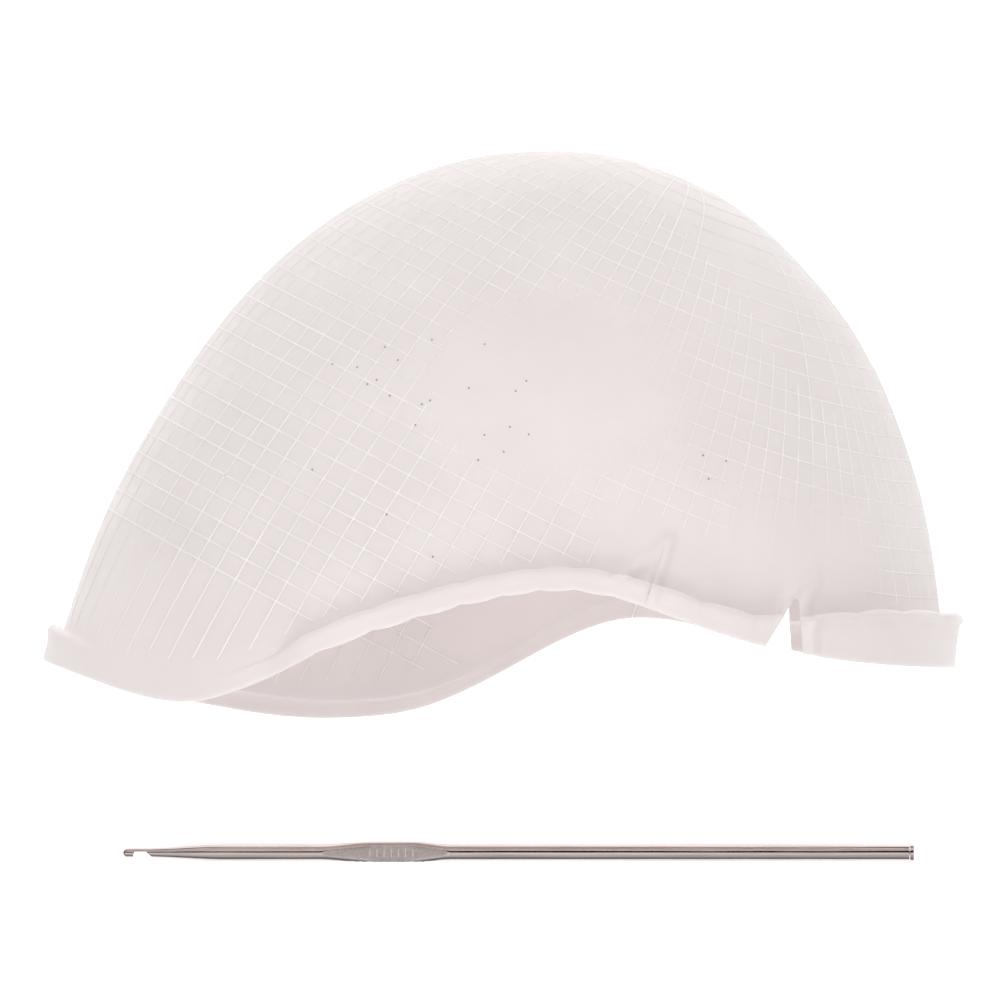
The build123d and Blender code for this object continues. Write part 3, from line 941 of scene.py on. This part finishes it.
class CAP_OT_skin(bpy.types.Operator):
    """Makes the crown with its bands and lips, and the two ear tabs"""
    bl_idname = "cap.skin"
    bl_label = "Skin and ear tabs"

    def execute(self, context):
        skin = make_skin(Dome(context.scene.cap_shape), material("milky_silicone"))
        tab = tab_outline(SLIT_HALF, VEE_MOUTH_FRONT, -VEE_TIP_HALF)
        opening = tab_outline(-SLIT_HALF, VEE_MOUTH_REAR, VEE_TIP_HALF)
        for side, low, high in (("near", SPLIT_Z, BLOCK_HIGH), ("far", BLOCK_LOW, SPLIT_Z)):
            flap = skin.copy()
            flap.data = skin.data.copy()
            flap.name = f"{side}_ear_tab_skin"
            context.scene.collection.objects.link(flap)
            block = upright_block("tab_block", tab, low, high)
            cut(flap, block, "INTERSECT")
            bpy.data.objects.remove(block)
            smooth(flap.data, 40)
            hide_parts(f"{side}_ear_tab")
            self.bend(flap, f"{side}_tab")
        block = upright_block("notch_block", opening, BLOCK_LOW, BLOCK_HIGH)
        cut(skin, block, "DIFFERENCE")
        bpy.data.objects.remove(block)
        smooth(skin.data, 40)
        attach(skin, "cap")
        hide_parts("crown_shell", "front_band", "nape_band", "near_slit_lip", "near_vee_lip",
                    "far_slit_lip", "far_vee_lip")
        return {"FINISHED"}

    def bend(self, flap, body):
        """Bakes the tab's placement into its mesh."""
        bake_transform(flap)


class CAP_OT_net(bpy.types.Operator):
    """Makes the raised guide lines on both faces of the cap"""
    bl_idname = "cap.net"
    bl_label = "Guide net"

    def execute(self, context):
        shape, net_shape = context.scene.cap_shape, context.scene.cap_net
        dome = Dome(shape)
        net = GuideNet(dome, net_shape.pitch)
        runs = net.lines()
        strengths = [net.strength(run) for run in runs]
        tree = rib_tree()
        for face, side, depth in (("outer", 1, 0.0), ("inner", -1, shape.wall)):
            # A weaker line is thinner and lies deeper in the skin, until it is gone.
            laid = [dome.lay(run, side * net_shape.rib_radius * (0.5 * strong - 1.05) - depth, depth)
                    for run, strong in zip(runs, strengths)]
            lines = line_piece(f"guide_lines_{face}", laid, strengths)
            ribs = run_tree(lines, tree, **{"Rib radius": net_shape.rib_radius, "Sides": 5,
                                            "Finish": material("guide_line_silicone")})
            smooth(ribs.data, 80)
            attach(ribs, "cap")
        return {"FINISHED"}


class CAP_OT_pinholes(bpy.types.Operator):
    """Makes the scattered pinholes"""
    bl_idname = "cap.pinholes"
    bl_label = "Pinholes"

    def execute(self, context):
        net_shape, dome, tree = context.scene.cap_net, Dome(context.scene.cap_shape), pinhole_tree()
        for number, (zone, share) in enumerate(zip(PINHOLE_ZONES, ZONE_SHARES)):
            patch = zone_patch(dome, zone)
            area = sum(face.area for face in patch.data.polygons)
            holes = run_tree(patch, tree, **{
                "Density": net_shape.pinholes * share / area, "Seed": net_shape.seed + number,
                "Pinhole radius": net_shape.pinhole_radius, "Finish": material("pinhole_shade")})
            holes.name = f"pinholes_{number + 1}"
            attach(holes, "cap")
        return {"FINISHED"}


class CAP_OT_hook(bpy.types.Operator):
    """Makes the steel hook with the ticks on its thumb rest"""
    bl_idname = "cap.hook"
    bl_label = "Hook"

    def execute(self, context):
        shape = context.scene.cap_hook
        stations = hook_stations(shape)
        rings = [hook_ring(u, shape) for u in stations]
        count = len(rings[0])
        points = [p for ring in rings for p in ring]
        faces = grid_faces(len(rings), count)
        faces += [tuple(range(count))[::-1], tuple(range(len(points) - count, len(points)))]
        hook = new_piece("pulling_hook", points, faces, material("polished_nickel"), 32)
        weld(hook.data)
        hook.data.materials.append(material("pressed_nickel_painted_highlight"))
        # The thumb rest's flats take the pressed finish: matte, and painted lighter than the shaft as a
        # highlight.
        for face in hook.data.polygons:
            u = (face.center.x - shape.tip) / MM
            if abs(face.normal.z) > FACING_UP and REST_START + 1 < u < REST_END - 1:
                face.material_index = 1
        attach(hook, "hook_body")
        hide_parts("hook")
        first, last = REST_WIDE_START - 0.5, REST_WIDE_END + 0.5
        top = shape.axis_height + REST_THICKNESS * shape.shaft / 2
        spots = [(shape.tip + u * MM, shape.across, top) for u in np.linspace(first, last, shape.ticks)]
        ticks = run_tree(new_piece("thumb_rest_ticks", spots, [], None), tick_tree(), **{
            "Tick width": TICK_WIDTH, "Tick length": TICK_LENGTH, "Finish": material("polished_nickel")})
        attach(ticks, "hook_body")
        return {"FINISHED"}


TABLE_SIZE, TABLE_DROP = 8.0, -0.2 * MM
CAMERA_HEIGHT, FOCUS_HEIGHT, SENSOR = 3.07, 0.07, 36.0
VIEW_WIDTH, VIEW_CENTRE = 0.2755, (-0.0094, 0.0167)
# Each light's name, place, size and power.
SOFT_BOXES = [("top_light", (0.05, 1.1, 1.7), 1.4, 21.0), ("side_light", (-1.3, -0.4, 1.5), 1.2, 2.0),
              ("front_light", (0.05, -1.2, 1.2), 0.9, 11.0)]
# How bright the room is: from down to up, and across the ceiling.
ROOM_BANDS = [(-0.98, 0.5), (0.25, 0.35), (0.5, 0.5), (0.7, 1.0)]
CEILING_BANDS = [(-0.98, 0.6), (-0.34, 0.7), (-0.28, 1.0), (-0.02, 1.0), (0.02, 0.0), (0.46, 0.0),
                 (0.5, 1.0), (0.7, 0.8)]
ROOM_STRENGTH = 0.95
MIX_FIRST, MIX_SECOND, MIX_RESULT = 6, 7, 2  # the colour sockets of a Mix node


class CAP_OT_stage(bpy.types.Operator):
    """Makes the table, the soft studio light and the camera"""
    bl_idname = "cap.stage"
    bl_label = "Stage"

    def execute(self, context):
        scene = context.scene
        scene.view_settings.view_transform = "Standard"
        half = TABLE_SIZE / 2
        table = new_piece("table", [(-half, -half, TABLE_DROP), (half, -half, TABLE_DROP),
                                    (half, half, TABLE_DROP), (-half, half, TABLE_DROP)],
                          [(0, 1, 2, 3)], material("pale_table"))
        for name, place, size, power in SOFT_BOXES:
            light = bpy.data.lights.new(name, "AREA")
            light.shape, light.size, light.energy = "SQUARE", size, power
            lamp = bpy.data.objects.new(name, light)
            lamp.location = place
            lamp.rotation_euler = (-Vector(place)).to_track_quat("-Z", "Y").to_euler()
            lamp.visible_camera = False
            lamp.visible_glossy = False
            scene.collection.objects.link(lamp)
        self.room(scene)
        camera = bpy.data.objects.new("camera", bpy.data.cameras.new("camera"))
        distance = CAMERA_HEIGHT - FOCUS_HEIGHT
        camera.data.sensor_width = SENSOR
        camera.data.lens = SENSOR * distance / VIEW_WIDTH
        camera.location = (VIEW_CENTRE[0], VIEW_CENTRE[1], CAMERA_HEIGHT)
        scene.collection.objects.link(camera)
        scene.camera = camera
        return {"FINISHED"}

    def room(self, scene):
        """Pale room, darker in a band above the horizon so that the metal shows stripes."""
        world = bpy.data.worlds.new("studio")
        world.use_nodes = True
        nodes, links = world.node_tree.nodes, world.node_tree.links
        direction = nodes.new("ShaderNodeTexCoord")
        split = nodes.new("ShaderNodeSeparateXYZ")
        ramp = nodes.new("ShaderNodeValToRGB")
        links.new(direction.outputs["Generated"], split.inputs[0])
        stripes = nodes.new("ShaderNodeValToRGB")
        for shade, source, bands in ((ramp, "Z", ROOM_BANDS), (stripes, "Y", CEILING_BANDS)):
            span = nodes.new("ShaderNodeMapRange")
            span.inputs["From Min"].default_value = -1
            links.new(split.outputs[source], span.inputs["Value"])
            links.new(span.outputs["Result"], shade.inputs["Fac"])
            elements = shade.color_ramp.elements
            elements[0].color = elements[1].color = (bands[-1][1],) * 3 + (1,)
            for position, value in bands:
                elements.new((position + 1) / 2).color = (value, value, value, 1)
        mix = nodes.new("ShaderNodeMix")
        mix.data_type, mix.blend_type = "RGBA", "MULTIPLY"
        mix.inputs["Factor"].default_value = 1.0
        links.new(ramp.outputs["Color"], mix.inputs[MIX_FIRST])
        links.new(stripes.outputs["Color"], mix.inputs[MIX_SECOND])
        background = nodes["Background"]
        links.new(mix.outputs[MIX_RESULT], background.inputs["Color"])
        background.inputs["Strength"].default_value = ROOM_STRENGTH
        scene.world = world


class CAP_PT_panel(bpy.types.Panel):
    """Lists the sizes and the steps"""
    bl_label = "Highlighting cap"
    bl_idname = "CAP_PT_panel"
    bl_space_type = "VIEW_3D"
    bl_region_type = "UI"
    bl_category = "Cap"

    def draw(self, context):
        for group in (context.scene.cap_shape, context.scene.cap_net, context.scene.cap_hook,
                      context.scene.cap_finish):
            box = self.layout.box()
            for name in group.bl_rna.properties.keys():
                if name not in {"rna_type", "name"}:
                    box.prop(group, name)
        for step in STEPS:
            self.layout.operator(step.bl_idname)


GROUPS = {"cap_shape": CapShape, "cap_net": NetShape, "cap_hook": HookShape, "cap_finish": Finish}
STEPS = (CAP_OT_finishes, CAP_OT_stage, CAP_OT_skin, CAP_OT_net, CAP_OT_pinholes, CAP_OT_hook)


def register():
    for kind in (*GROUPS.values(), *STEPS, CAP_PT_panel):
        bpy.utils.register_class(kind)
    for name, group in GROUPS.items():
        setattr(bpy.types.Scene, name, PointerProperty(type=group))


def unregister():
    for name in GROUPS:
        delattr(bpy.types.Scene, name)
    for kind in (CAP_PT_panel, *STEPS[::-1], *GROUPS.values()):
        bpy.utils.unregister_class(kind)


def main():
    register()
    bpy.ops.cap.finishes()
    bpy.ops.cap.stage()
    bpy.ops.cap.skin()
    bpy.ops.cap.net()
    bpy.ops.cap.pinholes()
    bpy.ops.cap.hook()


if __name__ == "__main__":
    main()
